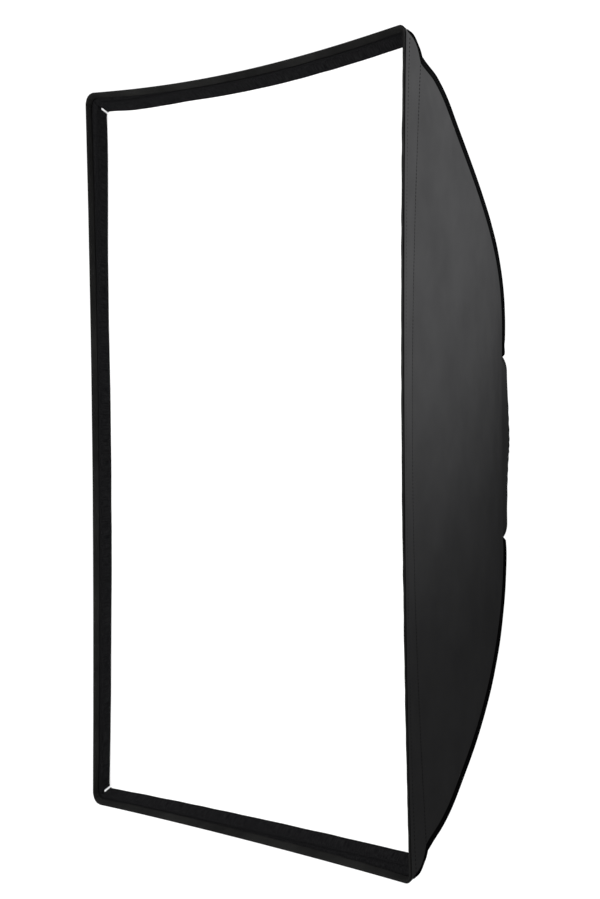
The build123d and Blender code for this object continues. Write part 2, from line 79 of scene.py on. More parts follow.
# the corner ridge: a long arc, and a tighter bend near the ring
TIP_X, TIP_Z = 0.380, 0.560
RIDGE_TIP = math.hypot(TIP_X, TIP_Z)
CHORD_R, CHORD_Y, BOW = 0.085, 0.028, 0.050
BEND_ANGLE, BEND_R = 30.0, 0.307
SOCKET_ANGLE, REAR_ANGLE = 10.5, 25.0           # the rods start, and the panels end
SKIN, ROD = 0.006, 0.017                        # insets from the ridge
K_SIDE = TIP_X / RIDGE_TIP
K_TOP = TIP_Z / RIDGE_TIP
chord_rho, chord_y = RIDGE_TIP - CHORD_R, SEAM_Y - CHORD_Y
CHORD = math.hypot(chord_rho, chord_y)
LONG_R = (CHORD**2 / 4 + BOW**2) / (2 * BOW)
back_off = (LONG_R - BOW) / CHORD
LONG_RHO = (RIDGE_TIP + CHORD_R) / 2 + chord_y * back_off
LONG_Y = (SEAM_Y + CHORD_Y) / 2 - chord_rho * back_off
BEND_RHO = LONG_RHO + (LONG_R - BEND_R) * math.sin(math.radians(BEND_ANGLE))
BEND_Y = LONG_Y + (LONG_R - BEND_R) * math.cos(math.radians(BEND_ANGLE))
SEAM_ANGLE = math.degrees(math.acos((SEAM_Y - LONG_Y) / (LONG_R - SKIN)))

SIDES = ("top", "right", "bottom", "left")
CLOTH = 0.0010
LIP_DEPTH = 0.058                               # of the flat lip, with its seam and hem
LOOPS_INNER = -CLOTH - 0.0018                   # the loop tape's inner face, under the lip's outer
ROD_END_Y = SEAM_Y + 0.017
RIM_CORNER_R = {1: 0.014, -1: 0.021}            # on the right and on the left
SEAM_CORNER_R = 0.005
BOW_POWER = 1.15
CORNER_BULGE, BULGE_REACH = 0.0053, 0.055       # of the lip's outer cloth, towards the mitres
INNER_PUFF = 0.15                               # of that bulge, followed by what the lip holds
LOW_CORNER_RISE = 0.0115                        # the diffuser's lower right corner sits high
HIGH_CORNER_IN, HIGH_CORNER_DROP = 0.0125, 0.006   # and its upper left one in and down
# places on a ridge go from 0 at the seam to 1 at the rear
RIDGE_WAVE, WAVE_TROUGH, WAVE_LENGTH = 0.003, 0.29, 0.70
RIDGE_BUMP, BUMP_AT, BUMP_WIDTH = 0.0027, 0.1, 0.08
RIM_BOW = {"top": 0.0165, "right": 0.0088, "bottom": 0.003, "left": 0.0090}
SEAM_BOW = {"top": 0.019, "right": 0.022, "bottom": 0.008, "left": 0.020}
CORNERS = {
    "upper_right": (1, 1),
    "lower_right": (1, -1),
    "lower_left": (-1, -1),
    "upper_left": (-1, 1),
}


def place(inset, angle):
    """(y, rho) on the corner curve this far inside the ridge; the angle is in degrees from +Y."""
    long_arc = angle >= BEND_ANGLE
    centre_y, centre_rho = (LONG_Y, LONG_RHO) if long_arc else (BEND_Y, BEND_RHO)
    radius = (LONG_R if long_arc else BEND_R) - inset
    a = math.radians(angle)
    return centre_y + radius * math.cos(a), centre_rho + radius * math.sin(a)


def smooth(x):
    x = max(0.0, min(1.0, x))
    return x * x * (3 - 2 * x)


def mix(a, b, t):
    return a + (b - a) * t


def directions(side):
    """Outward and along directions of one side, clockwise seen from the front."""
    out = {"top": (0, 0, 1), "right": (1, 0, 0), "bottom": (0, 0, -1), "left": (-1, 0, 0)}[side]
    return Vector(out), Vector((out[2], 0, -out[0]))


def upright(side):
    return side in ("right", "left")


# ---- materials ------------------------------------------------------------------------
def nodes_of(name, base, rough, **sockets):
    """A material with a Principled shader; constants sit on its own sockets."""
    mat = bpy.data.materials.new(name)
    mat.use_nodes = True
    tree = mat.node_tree
    shader = tree.nodes["Principled BSDF"]
    shader.inputs["Base Color"].default_value = (*base, 1)
    shader.inputs["Roughness"].default_value = rough
    for key, value in sockets.items():
        shader.inputs[key.replace("_", " ")].default_value = value
    return mat, tree, shader


def add(tree, kind, **settings):
    node = tree.nodes.new(kind)
    for key, value in settings.items():
        if key in node.bl_rna.properties:
            setattr(node, key, value)
        else:
            node.inputs[key.replace("_", " ")].default_value = value
    return node


def tone(tree, shader, coordinate, scale, low, high, detail=3.0):
    """Mottles the base colour between two tones."""
    cloud = add(tree, "ShaderNodeTexNoise", Scale=scale, Detail=detail, Roughness=0.6)
    ramp = add(tree, "ShaderNodeValToRGB")
    ramp.color_ramp.elements[0].position = 0.35
    ramp.color_ramp.elements[0].color = (*low, 1)
    ramp.color_ramp.elements[1].position = 0.65
    ramp.color_ramp.elements[1].color = (*high, 1)
    tree.links.new(coordinate, cloud.inputs["Vector"])
    tree.links.new(cloud.outputs["Fac"], ramp.inputs["Fac"])
    tree.links.new(ramp.outputs["Color"], shader.inputs["Base Color"])
    return cloud


def bump(tree, shader, height, strength, distance):
    node = add(tree, "ShaderNodeBump", Strength=strength, Distance=distance)
    tree.links.new(height, node.inputs["Height"])
    tree.links.new(node.outputs["Normal"], shader.inputs["Normal"])


def waves(tree, coordinate, pitch, direction, distortion=0.4):
    """A band pattern that repeats every pitch metres."""
    node = add(
        tree,
        "ShaderNodeTexWave",
        bands_direction=direction,
        Scale=math.tau / pitch / 20,
        Distortion=distortion,
        Detail=1.0,
    )
    tree.links.new(coordinate, node.inputs["Vector"])
    return node.outputs["Fac"]


def maths(tree, operation, a, b):
    node = add(tree, "ShaderNodeMath", operation=operation)
    for socket, value in zip(node.inputs, (a, b)):
        if isinstance(value, float):
            socket.default_value = value
        else:
            tree.links.new(value, socket)
    return node.outputs[0]


def cloth(name, low, high, rough, pitch, strength=0.35, fuzz=0.15, output="UV", **sockets):
    """Plain woven cloth: two crossed sets of threads, mottled colour, and fine fibre noise."""
    mat, tree, shader = nodes_of(name, low, rough, **sockets)
    where = add(tree, "ShaderNodeTexCoord").outputs[output]
    tone(tree, shader, where, 9.0, low, high)
    warp = waves(tree, where, pitch, "X")
    weft = waves(tree, where, pitch, "Y" if output == "UV" else "Z")
    fibre = add(tree, "ShaderNodeTexNoise", Scale=0.9 / pitch, Detail=4.0)
    tree.links.new(where, fibre.inputs["Vector"])
    weave = maths(tree, "MAXIMUM", warp, weft)
    fibres = maths(tree, "MULTIPLY", fibre.outputs["Fac"], fuzz * 4)
    bump(tree, shader, maths(tree, "ADD", weave, fibres), strength, pitch * 0.35)
    return mat


def fuzzy(name, low, high):
    """The loop side of touch tape: a mat of fine curled fibres."""
    mat, tree, shader = nodes_of(name, low, 0.95, Specular_IOR_Level=0.0)
    where = add(tree, "ShaderNodeTexCoord").outputs["UV"]
    tone(tree, shader, where, 420.0, low, high, 5.0)
    mat_noise = add(tree, "ShaderNodeTexNoise", Scale=900.0, Detail=5.0, Distortion=1.6)
    tree.links.new(where, mat_noise.inputs["Vector"])
    bump(tree, shader, mat_noise.outputs["Fac"], 0.8, 0.0012)
    return mat


def ribbed(name, low, high, pitch, **sockets):
    """Elastic or webbing with ribs across it, in UV metres along X."""
    mat, tree, shader = nodes_of(name, low, 0.85, **sockets)
    where = add(tree, "ShaderNodeTexCoord").outputs["UV"]
    tone(tree, shader, where, 60.0, low, high)
    ribs = waves(tree, where, pitch, "X", 0.1)
    threads = waves(tree, where, pitch * 0.5, "Y", 0.1)
    bump(tree, shader, maths(tree, "ADD", ribs, threads), 0.5, pitch * 0.3)
    return mat


def metal(name, low, high, rough, grain=(1, 1, 1), metallic=1.0, **sockets):
    """Bare, plated or painted metal with a fine grain stretched by its scale in each direction."""
    mat, tree, shader = nodes_of(name, low, rough, Metallic=metallic, **sockets)
    where = add(tree, "ShaderNodeTexCoord").outputs["Object"]
    stretch = add(tree, "ShaderNodeMapping")
    stretch.inputs["Scale"].default_value = grain
    tree.links.new(where, stretch.inputs["Vector"])
    cloud = tone(tree, shader, stretch.outputs["Vector"], 90.0, low, high)
    fine = add(tree, "ShaderNodeTexNoise", Scale=700.0, Detail=4.0)
    tree.links.new(stretch.outputs["Vector"], fine.inputs["Vector"])
    polish = add(tree, "ShaderNodeMapRange", From_Min=0.3, From_Max=0.7)
    polish.inputs["To Min"].default_value = rough * 0.8
    polish.inputs["To Max"].default_value = min(1.0, rough * 1.25)
    tree.links.new(cloud.outputs["Fac"], polish.inputs["Value"])
    tree.links.new(polish.outputs["Result"], shader.inputs["Roughness"])
    bump(tree, shader, fine.outputs["Fac"], 0.12, 0.0004)
    return mat


NYLON = cloth(
    "black nylon", (0.0125, 0.0125, 0.0128), (0.0147, 0.0147, 0.0150), 0.9, 0.0009,
    strength=0.12, Specular_IOR_Level=0.0,
)
LINING = cloth(
    "silver lining", (0.56, 0.57, 0.59), (0.66, 0.67, 0.69), 0.34, 0.0011,
    strength=0.25, Metallic=0.85,
)
HEM = cloth(
    "black hem tape", (0.0085, 0.0085, 0.0085), (0.0140, 0.0140, 0.0137), 0.9, 0.0012,
    strength=0.3, Specular_IOR_Level=0.0,
)
# Black binding tape along the corner ridges. Its colour is set far below the hem tape's, which
# paints in the shade that lies along the ridges.
BINDING_WITH_PAINTED_SHADE = cloth(
    "black binding tape with painted shade", (0.0011, 0.0011, 0.0012), (0.0019, 0.0019, 0.0020), 0.9, 0.0012,
    strength=0.3, Specular_IOR_Level=0.0,
)
TOUCH = fuzzy("black touch tape", (0.0035, 0.0035, 0.004), (0.012, 0.012, 0.0125))
WHITE = cloth(
    "white diffuser cloth", (0.9, 0.9, 0.9), (0.93, 0.93, 0.93), 0.8, 0.0010,
    strength=0.15, Specular_IOR_Level=0.2,
)
BAFFLE = cloth(
    "white baffle cloth", (0.84, 0.84, 0.83), (0.9, 0.9, 0.89), 0.8, 0.0008, strength=0.2
)
WHITE_ELASTIC = ribbed("white elastic", (0.72, 0.72, 0.7), (0.82, 0.82, 0.8), 0.002)
BLACK_ELASTIC = ribbed(
    "black elastic", (0.006, 0.006, 0.0065), (0.014, 0.014, 0.015), 0.0022, Specular_IOR_Level=0.2
)
WEBBING = ribbed("black webbing", (0.008, 0.008, 0.009), (0.016, 0.016, 0.017), 0.0016)
THREAD = cloth(
    "sewing thread", (0.005, 0.005, 0.0052), (0.008, 0.008, 0.0082), 0.8, 0.0004,
    Specular_IOR_Level=0.0,
)
PAINT = metal("black paint", (0.012, 0.012, 0.013), (0.02, 0.02, 0.021), 0.42, metallic=0.0)
PLATE = metal("turned aluminium", (0.5, 0.5, 0.51), (0.6, 0.6, 0.61), 0.3, grain=(1, 0.1, 1))
ZINC = metal("zinc plate", (0.46, 0.46, 0.45), (0.6, 0.6, 0.58), 0.32)
OXIDE = metal("black oxide", (0.05, 0.05, 0.052), (0.09, 0.09, 0.092), 0.4)
NICKEL = metal("nickel plate", (0.62, 0.61, 0.59), (0.72, 0.71, 0.69), 0.2)
SPRING = metal("spring steel", (0.34, 0.34, 0.35), (0.45, 0.45, 0.46), 0.33, grain=(1, 0.15, 1))
SLEEVE = metal("ferrule metal", (0.55, 0.55, 0.55), (0.66, 0.66, 0.66), 0.28)
PLASTIC = metal(
    "black knob plastic", (0.009, 0.009, 0.0095), (0.016, 0.016, 0.017), 0.5, metallic=0.0
)
RUBBER = metal("black rubber", (0.01, 0.01, 0.01), (0.018, 0.018, 0.018), 0.75, metallic=0.0)
FINISH = {
    "bayonet_insert": PLATE,
    "bayonet_lugs": ZINC,
    "speedring": PAINT,
    "socket_screws": OXIDE,
    "retaining_screws": OXIDE,
    "baffle_snaps": NICKEL,
}
for end in ("top", "bottom"):
    FINISH[f"lock_screw_{end}"] = ZINC
    FINISH[f"lock_knob_{end}"] = PLASTIC
for corner in CORNERS:
    FINISH[f"rod_{corner}"] = SPRING
    FINISH[f"rod_ferrule_{corner}"] = SLEEVE
    FINISH[f"rod_tip_{corner}"] = RUBBER
    FINISH[f"rod_socket_{corner}"] = PAINT
for node, finish in FINISH.items():
    slots = bpy.data.objects[node].data.materials
    slots.clear()
    slots.append(finish)


# ---- mesh helpers ---------------------------------------------------------------------
def make(name, points, faces, materials, uvs=None, face_materials=None):
    """A mesh object, smooth but at its sharp edges; uvs has one (u, v) in metres per point."""
    mesh = bpy.data.meshes.new(name)
    mesh.from_pydata([tuple(p) for p in points], [], faces)
    for material in materials:
        mesh.materials.append(material)
    if uvs:
        layer = mesh.uv_layers.new(name="metres")
        for loop in mesh.loops:
            layer.data[loop.index].uv = uvs[loop.vertex_index]
    if face_materials:
        for face, index in zip(mesh.polygons, face_materials):
            face.material_index = index
    for face in mesh.polygons:
        face.use_smooth = True
    mesh.set_sharp_from_angle(angle=math.radians(60))
    mesh.validate()
    obj = bpy.data.objects.new(name, mesh)
    bpy.context.collection.objects.link(obj)
    return obj


def normals_of(grid):
    """Surface normals of a grid of points, by central differences."""
    rows, cols = len(grid), len(grid[0])
    out = []
    for i in range(rows):
        line = []
        for j in range(cols):
            down = grid[min(i + 1, rows - 1)][j] - grid[max(i - 1, 0)][j]
            across = grid[i][min(j + 1, cols - 1)] - grid[i][max(j - 1, 0)]
            line.append(across.cross(down).normalized())
        out.append(line)
    return out


def shell(name, grid, thickness, materials, uv, flip=False):
    """A closed thin cloth from a grid: the outer face takes material 0, the inner the last."""
    rows, cols = len(grid), len(grid[0])
    turn = -1 if flip else 1
    normals = normals_of(grid)
    points = [p for line in grid for p in line]
    points += [
        grid[i][j] - normals[i][j] * (thickness * turn) for i in range(rows) for j in range(cols)
    ]
    uvs = [uv(i, j) for i in range(rows) for j in range(cols)] * 2
    inner = rows * cols
    faces, kinds = [], []
    for i in range(rows - 1):
        for j in range(cols - 1):
            a, b = i * cols + j, i * cols + j + 1
            c, d = b + cols, a + cols
            quad = [a, b, c, d] if not flip else [d, c, b, a]
            faces += [quad, [v + inner for v in reversed(quad)]]
            kinds += [0, len(materials) - 1]
    rim = [(0, j) for j in range(cols)]
    rim += [(i, cols - 1) for i in range(1, rows)]
    rim += [(rows - 1, j) for j in range(cols - 2, -1, -1)]
    rim += [(i, 0) for i in range(rows - 2, 0, -1)]
    for (i, j), (k, m) in zip(rim, rim[1:] + rim[:1]):
        a, b = i * cols + j, k * cols + m
        faces.append([b, a, a + inner, b + inner] if not flip else [a, b, b + inner, a + inner])
        kinds.append(0)
    return make(name, points, faces, materials, uvs, kinds)


def thicken(name, points, faces, thickness, materials, uvs):
    """A closed cloth from an open skin: the skin is one face, and the other lies behind it."""
    normals = [Vector() for _ in points]
    edges = {}
    for face in faces:
        a, b, c = (points[face[k]] for k in range(3))
        normal = (b - a).cross(c - a)
        for k, v in enumerate(face):
            normals[v] += normal
            edge = (v, face[(k + 1) % len(face)])
            edges[edge] = edges.get(edge, 0) + 1
    count = len(points)
    behind = [p - n.normalized() * thickness for p, n in zip(points, normals)]
    skins = faces + [[v + count for v in reversed(face)] for face in faces]
    skins += [[b, a, a + count, b + count] for a, b in edges if (b, a) not in edges]
    return make(name, points + behind, skins, materials, uvs * 2)


def tube(name, rings, material, uv, closed=False):
    """Joins closed sections, each a list of points, into a skin with capped ends."""
    count = len(rings[0])
    points = [p for ring in rings for p in ring]
    uvs = [uv(i, j) for i in range(len(rings)) for j in range(count)]
    faces = []
    spans = len(rings) if closed else len(rings) - 1
    for i in range(spans):
        k = (i + 1) % len(rings)
        for j in range(count):
            m = (j + 1) % count
            faces.append([i * count + j, k * count + j, k * count + m, i * count + m])
    if not closed:
        faces.append(list(range(count)))
        faces.append([len(points) - count + j for j in reversed(range(count))])
    obj = make(name, points, faces, [material], uvs)
    if not closed:
        obj.data.polygons[len(faces) - 1].use_smooth = False
        obj.data.polygons[len(faces) - 2].use_smooth = False
    return obj


def stitches(name, lines, length=0.0032, gap=0.0018, radius=0.0004, around=5):
    """Small thread dashes along lines, each a list of (point, normal)."""
    points, faces = [], []
    for line in lines:
        since = 0.0
        for (p, n), (q, _) in zip(line, line[1:]):
            step = (q - p).length
            since += step
            if since < length + gap or step == 0:
                continue
            since = 0.0
            ahead = (q - p).normalized()
            aside = ahead.cross(n).normalized()
            start = len(points)
            for along, share in ((0, 0.25), (0.25, 1), (0.75, 1), (1, 0.25)):   # thin at its ends
                centre = p + ahead * (along * length) + n * (radius * (share - 0.6))
                for turn in range(around):
                    a = math.tau * turn / around
                    outward = aside * math.cos(a) + n * math.sin(a)
                    points.append(centre + outward * (radius * share))
            last = start + 3 * around
            for ring in range(start, last, around):
                for t in range(around):
                    a, b = ring + t, ring + (t + 1) % around
                    faces.append([a, a + around, b + around, b])
            faces.append([start + t for t in range(around)])
            faces.append([last + t for t in reversed(range(around))])
    uvs = [(p.x + p.y, p.z) for p in points]
    return make(name, points, faces, [THREAD], uvs)


def soft_square(count, c_power, s_power):
    """Points round a square with soft corners, each coordinate from -1 to 1."""
    points = []
    for k in range(count):
        a = math.tau * k / count
        c, s = math.cos(a), math.sin(a)
        points.append((math.copysign(abs(c) ** c_power, c), math.copysign(abs(s) ** s_power, s)))
    return points


def body_piece(piece, body, slot, *nodes):
    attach(piece, body)
    if nodes:
        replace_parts(piece, *nodes)
    return piece


# ---- the four sides' shared geometry --------------------------------------------------
def lip_share(y):
    return (SEAM_Y - y) / (SEAM_Y - FRONT_Y)


def lip_point(side, p, y, offset, gap=0.0, puff=1.0):
    """A point on the lip at a depth y, offset out of its outer face.

    p runs from -1 to 1 between the mitres at the side's two ends, each less the gap, and
    puff is how much of the outer cloth's bulge near the corners is followed.
    """
    out, along = directions(side)
    share = lip_share(y)
    right_or_left = round(out.x + along.x * math.copysign(1, p))
    half_x = mix(SEAM_X, FRONT_X, share)
    half_z = mix(SEAM_Z, FRONT_Z, share)
    half_out, half_along = (half_x, half_z) if upright(side) else (half_z, half_x)
    corner = mix(SEAM_CORNER_R, RIM_CORNER_R[right_or_left], smooth(share))
    radius = max(corner + offset, 0.0008)
    straight = half_along - corner
    end = straight + radius / math.sqrt(2) - gap
    pos = p * end
    beyond = max(0.0, abs(pos) - straight)
    drop = corner - math.sqrt(max(radius**2 - beyond**2, 0.0))
    bow = mix(SEAM_BOW[side], RIM_BOW[side], smooth(share)) * (1 - (pos / end) ** 2) ** BOW_POWER
    swell = puff * math.sin(math.pi * max(0.0, min(1.0, share)))
    near_corner = math.exp(-(end - abs(pos)) / BULGE_REACH)
    bulge = swell * (0.0012 + CORNER_BULGE * near_corner)
    slant = swell * CORNER_BULGE * near_corner * math.copysign(1, pos) * smooth(abs(pos) / end)
    level = half_out - drop - bow + bulge
    pull = (1 - puff) / (1 - INNER_PUFF)        # 1 for what the lip holds, 0 for its cloth
    if side == "bottom":
        level -= pull * LOW_CORNER_RISE * ((1 - p) / 2) ** 2.2
    elif side == "right":
        pos -= pull * LOW_CORNER_RISE * smooth((p - 0.7) / 0.3)
    elif side == "left":
        level -= pull * HIGH_CORNER_IN * smooth((p - 0.4) / 0.6)
        pos -= pull * HIGH_CORNER_DROP * smooth((p - 0.7) / 0.3)
    else:
        level -= pull * HIGH_CORNER_DROP * smooth((-p - 0.3) / 0.6)
        pos += pull * HIGH_CORNER_IN * smooth((-p - 0.7) / 0.3)
    return out * level + along * (pos + slant) + Vector((0, y, 0))


def seam_sag(side, u):
    return SEAM_BOW[side] * (1 - u * u) ** BOW_POWER


def spread(count):
    """From -1 to 1, closer together towards the ends."""
    return [math.sin(math.pi / 2 * (2 * i / count - 1)) for i in range(count + 1)]


def even(count):
    return [2 * i / count - 1 for i in range(count + 1)]


# ---- panels ---------------------------------------------------------------------------
def panel_angles(rows):
    """Angles at even steps of length from the seam to the rear opening."""
    long_run = math.radians(SEAM_ANGLE - BEND_ANGLE) * (LONG_R - SKIN)
    bend_run = math.radians(BEND_ANGLE - REAR_ANGLE) * (BEND_R - SKIN)
    angles = []
    for i in range(rows + 1):
        run = (long_run + bend_run) * i / rows
        if run <= long_run:
            angles.append(SEAM_ANGLE - math.degrees(run / (LONG_R - SKIN)))
        else:
            angles.append(BEND_ANGLE - math.degrees((run - long_run) / (BEND_R - SKIN)))
    return angles, long_run + bend_run


def ridge_lift(angle, upper):
    """How far a ridge wanders out of its arc; upper is 1 on an upper ridge, 0 on a lower one."""
    v = (SEAM_ANGLE - angle) / (SEAM_ANGLE - REAR_ANGLE)
    ends = smooth(v / 0.06) * (1 - smooth((v - 0.82) / 0.18))
    wave = -RIDGE_WAVE * math.cos(math.tau * (v - WAVE_TROUGH) / WAVE_LENGTH) * upper
    return (wave + RIDGE_BUMP * math.exp(-(((v - BUMP_AT) / BUMP_WIDTH) ** 2))) * ends


def panel_wrinkle(side, u, v):
    """How far the cloth lies out of its even shape, in metres."""
    seed = SIDES.index(side) * 7.3
    slow = noise.noise(Vector((u * 2.1 + seed, v * 2.6, 0.3)))
    edge = 1 - abs(u)
    pull = noise.noise(Vector((u * 26 + seed, v * 2.2, 4.1))) * smooth((v - 0.55) / 0.45)
    corner = math.exp(-math.hypot(edge * 1.8, v * 3.0) / 0.22)
    fan = math.atan2(v * 1.4 + 0.02, edge + 0.02)
    rays = math.sin(fan * 17 + seed) * corner
    calm = smooth(edge / 0.06) * smooth(v / 0.05)
    return (0.0016 * slow + 0.0013 * pull + 0.0009 * rays) * calm


def build_panel(side, rows=110, cols=120):
    """A tapered panel from the lip's seam to the rear opening, silver inside."""
    out, along = directions(side)
    k_out, k_along = (K_SIDE, K_TOP) if upright(side) else (K_TOP, K_SIDE)
    angles, run = panel_angles(rows)
    grid, profile = [], []
    for i, angle in enumerate(angles):
        v = i / rows
        front = (1 - v) ** 1.4
        middle = 4 * v * (1 - v)
        line = []
        for u in spread(cols):
            upper = 0.5 + 0.5 * (out.z + along.z * u)
            y, rho = place(SKIN - ridge_lift(angle, upper), angle)
            sag = seam_sag(side, u) * front + 0.006 * middle * (1 - u * u)
            level = rho * k_out - sag + panel_wrinkle(side, u, v)
            line.append(out * level + along * (u * rho * k_along) + Vector((0, y, 0)))
        grid.append(line)
        profile.append((rho * k_out, y, 2 * rho * k_along))   # at the edge, and the width there
    panel = shell(
        f"cloth_panel_{side}", grid, CLOTH, [NYLON, LINING],
        lambda i, j: (grid[i][j].dot(along), run * i / rows),
    )
    body_piece(panel, "softbox", "black_nylon", f"panel_{side}")


# ---- lip, hem and tapes ---------------------------------------------------------------
def build_lip(side):
    """The lip's cloth, from the seam forwards; past a share of 1 it runs on over the hem."""
    profile = [0.0, 0.03, 0.07, 0.12, 0.25, 0.4, 0.55, 0.7, 0.85, 0.96, 1.02, 1.08, 1.13]
    grid = []
    for share in profile:
        y = mix(SEAM_Y, HEM_Y, share)
        fold = 0.0007 * math.exp(-((share - 0.05) / 0.035) ** 2)
        fold += 0.0018 * smooth((share - 0.93) / 0.1)
        line = []
        for p in spread(150):
            ripple = noise.noise(Vector((p * 14 + SIDES.index(side) * 5, share * 1.5, 8.1)))
            calm = smooth((1 - abs(p)) / 0.04) * math.sin(math.pi * min(share, 1.0))
            line.append(lip_point(side, p, y, fold + 0.0009 * ripple * calm))
        grid.append(line)
    along = directions(side)[1]
    lip = shell(
        f"cloth_lip_{side}", grid, CLOTH, [NYLON],
        lambda i, j: (grid[i][j].dot(along), profile[i] * LIP_DEPTH), flip=True,
    )
    body_piece(lip, "softbox", "black_nylon", f"lip_{side}")


def corner_creases(p, end, turn):
    """Ridges of cloth folded parallel to the mitre, near a side's ends."""
    inward = (1 - abs(p)) * end
    fade = math.exp(-inward / 0.016)
    return fade * (0.5 + 0.5 * math.cos(math.tau * inward / 0.0075 + turn))


def build_hem(side):
    """The rolled edge: two layers of tape folded over the lip's front edge."""
    end = FRONT_Z if upright(side) else FRONT_X
    rear, thick = HEM_Y + 0.0012, 0.0040
    around, places = 20, spread(210)
    section = []
    for c, s in soft_square(around, 0.55, 0.6):
        ahead = 0.5 - 0.5 * c
        section.append((ahead, 0.5 * s * mix(1.0, 0.72, ahead * (1 - ahead) * 2)))
    seed = SIDES.index(side) * 9.7
    rings = []
    for p in places:
        creases = corner_creases(p, end, seed)
        lumps = noise.noise(Vector((p * end * 42, seed, 2.2)))
        swell = 1 + 0.16 * noise.noise(Vector((p * end * 16, seed, 6.5))) + 0.45 * creases
        shift = 0.0006 * lumps * smooth((1 - abs(p)) / 0.03)
        ring = []
        for ahead, level in section:
            y = mix(rear, FRONT_Y + 0.0002, ahead) + 0.0003 * lumps * ahead
            offset = -0.0022 + shift + thick * level * swell
            ring.append(lip_point(side, p, y, offset))
        rings.append(ring)
    hem = tube(
        f"cloth_hem_{side}", rings, HEM,
        lambda i, j: (places[i] * end, j * (rear - FRONT_Y + thick) * 2 / around),
    )
    body_piece(hem, "softbox", "seam_tape", f"hem_{side}")


def tape_rings(side, inner, outer, low_y, high_y, gap, fuzz, count, outer_puff):
    """Sections of a tape on the lip's inside, from its low to its high face."""
    seed = SIDES.index(side) * 3.1 + inner * 900
    section = [(0.5 + 0.5 * c, 0.5 + 0.5 * s) for c, s in soft_square(30, 0.35, 0.4)]
    rings = []
    for p in even(count):
        wander = 0.0004 * noise.noise(Vector((p * 9, seed, 1.7)))
        ring = []
        for across, level in section:
            y = mix(low_y, high_y, across) + wander
            spot = Vector((p * 620, across * 16, seed))
            rough = fuzz * (noise.noise(spot) + 0.6 * noise.noise(spot * 2.3)) * (1 - level)
            far = lip_point(side, p, y, outer + rough, gap, outer_puff)
            ring.append(far.lerp(lip_point(side, p, y, inner + rough, gap, INNER_PUFF), level))
        rings.append(ring)
    return rings


def build_tapes(side):
    """The lip's loop tape and, inside it, the diffuser's fuzzy tape that sticks to it."""
    step = 0.0024
    count = round((FRONT_Z if upright(side) else FRONT_X) * 2 / step)
    loops = tape_rings(
        side, inner=LOOPS_INNER + 0.0003, outer=-CLOTH - 0.0001, low_y=FLANGE_Y,
        high_y=TAPE_REAR_Y, gap=0.0, fuzz=0.0, count=60, outer_puff=1.0,
    )
    loop = tube(f"touch_loop_{side}", loops, TOUCH, lambda i, j: (i * 0.02, j * 0.0012))
    body_piece(loop, "softbox", "touch_tape")
    face = tape_rings(
        side, inner=LOOPS_INNER - 0.0029, outer=LOOPS_INNER - 0.0011, low_y=FLANGE_Y - 0.0006,
        high_y=TAPE_REAR_Y, gap=0.0014, fuzz=0.00025, count=count, outer_puff=INNER_PUFF,
    )
    tape = tube(f"touch_tape_{side}", face, TOUCH, lambda i, j: (i * step, j * 0.0012))
    body_piece(tape, "front_cloth", "touch_tape", f"diffuser_tape_{side}")
    return loop


def build_diffuser():
    """A cloth tray: its face, a rounded bend, and a border turned forwards along the lip."""
    cols, rows, bend = 90, 130, 0.0022
    border_y = mix(FACE_Y, FLANGE_Y, 0.62)
    across, upwards = spread(cols), spread(rows)

    def edge(side, p, y=FACE_Y, offset=LOOPS_INNER - bend):
        return lip_point(side, p, y, offset, puff=INNER_PUFF)

    top = {s: edge("top", s) for s in across}
    bottom = {s: edge("bottom", -s) for s in across}
    left = {t: edge("left", t) for t in upwards}
    right = {t: edge("right", -t) for t in upwards}
    points, index, faces = [], {}, []
    for i, t in enumerate(reversed(upwards)):
        for j, s in enumerate(across):
            a, b = (1 + s) / 2, (1 + t) / 2
            point = left[t].lerp(right[t], a) + bottom[s].lerp(top[s], b)
            low_row = bottom[-1.0].lerp(bottom[1.0], a)
            point -= low_row.lerp(top[-1.0].lerp(top[1.0], a), b)
            inside = (1 - s * s) * (1 - t * t)
            near = math.exp(-math.hypot(1 - abs(s), (1 - abs(t)) * 1.4) / 0.16)
            rays = 0.0016 * math.sin(9 * math.atan2(1 - abs(t), 1 - abs(s) + 1e-6))
            slow = 0.0012 * noise.noise(Vector((s * 3.2, t * 4.6, 5.5)))
            point.y = FACE_Y + 0.004 * inside + (slow + rays * near) * smooth(inside * 6)
            index[i, j] = len(points)
            points.append(point)
    for i in range(rows):
        for j in range(cols):
            faces.append([index[i, j], index[i, j + 1], index[i + 1, j + 1], index[i + 1, j]])
    loop = [index[0, j] for j in range(cols)] + [index[i, cols] for i in range(rows)]
    loop += [index[rows, j] for j in range(cols, 0, -1)] + [index[i, 0] for i in range(rows, 0, -1)]
    turned = [(FACE_Y - 0.0007, LOOPS_INNER - 0.0007), (FACE_Y - bend, LOOPS_INNER)]
    turned += [(mix(FACE_Y - bend, border_y, k / 5), LOOPS_INNER) for k in range(1, 6)]
    for y, offset in turned:
        ring = list(range(len(points), len(points) + len(loop)))
        for side in SIDES:
            steps = upwards if upright(side) else across
            points += [edge(side, p, y, offset) for p in steps[:-1]]
        for k in range(len(loop)):
            m = (k + 1) % len(loop)
            faces.append([loop[k], ring[k], ring[m], loop[m]])
        loop = ring
    uvs = [(p.x, p.z - p.y) for p in points]
    sheet = thicken("cloth_front_diffuser", points, faces, 0.0009, [WHITE], uvs)
    body_piece(sheet, "front_cloth", "diffuser_cloth", "front_diffuser")


# ---- corner seams ---------------------------------------------------------------------
def corner_vector(name, out, y):
    sx, sz = CORNERS[name]
    return Vector((sx * out * K_SIDE, y, sz * out * K_TOP))


def lip_corner(name, y, offset):
    """A point on the lip's mitre, offset out of it: halfway between the two sides that meet."""
    sx, sz = CORNERS[name]
    points = []
    for side in ("top" if sz > 0 else "bottom", "right" if sx > 0 else "left"):
        along = directions(side)[1]
        points.append(lip_point(side, along.x * sx + along.z * sz, y, offset))
    return points[0].lerp(points[1], 0.5)


